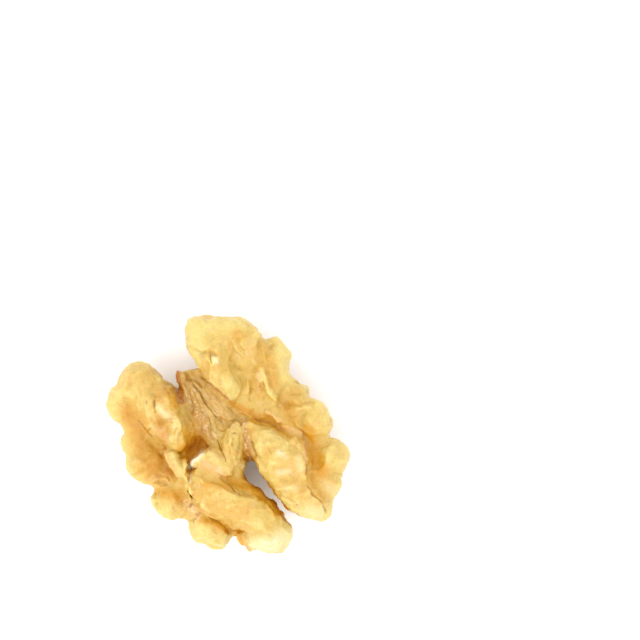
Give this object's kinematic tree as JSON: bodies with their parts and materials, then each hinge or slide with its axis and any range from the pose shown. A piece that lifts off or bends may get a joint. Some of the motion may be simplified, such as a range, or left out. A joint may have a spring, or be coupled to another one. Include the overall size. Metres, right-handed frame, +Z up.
{
  "type": "walnut kernel half",
  "caption": "Half of a shelled walnut kernel, lying on its wrinkled dome with the lobed inner face up.",
  "frame": {"origin": "middle of the footprint, on the level of the worn flats that the kernel stands on", "axes": "+Y along the nut's own axis, towards the end with the wide notch; +Z up out of the inner face"},
  "size_m": [0.0282, 0.034, 0.0125],
  "materials": {
    "pellicle": "satin"
  },
  "bodies": {
    "root": {"kernel": "pellicle"}
  },
  "joints": []
}
